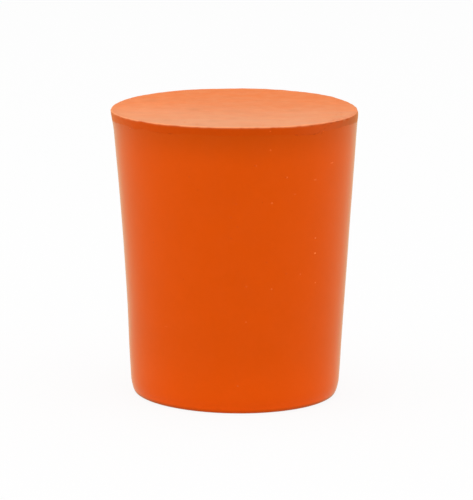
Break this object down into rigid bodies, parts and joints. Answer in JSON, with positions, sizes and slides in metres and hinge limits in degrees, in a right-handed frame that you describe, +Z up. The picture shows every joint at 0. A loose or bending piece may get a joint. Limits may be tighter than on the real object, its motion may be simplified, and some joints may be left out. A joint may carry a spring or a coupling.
{
  "type": "rubber stopper",
  "caption": "Solid tapered rubber stopper with a flat wide end, a trimmed rim and a slightly rounded narrow end, for closing the neck of laboratory glassware.",
  "frame": {"origin": "centre of the small end face, which the stopper stands on", "axes": "+Z up the stopper's axis, from the small end to the large end; X and Y lie in the small end face, and any turn about Z is the same"},
  "size_m": [0.025, 0.025, 0.0293],
  "materials": {
    "orange_rubber": "satin"
  },
  "bodies": {
    "root": {"stopper": "orange_rubber"}
  },
  "joints": []
}
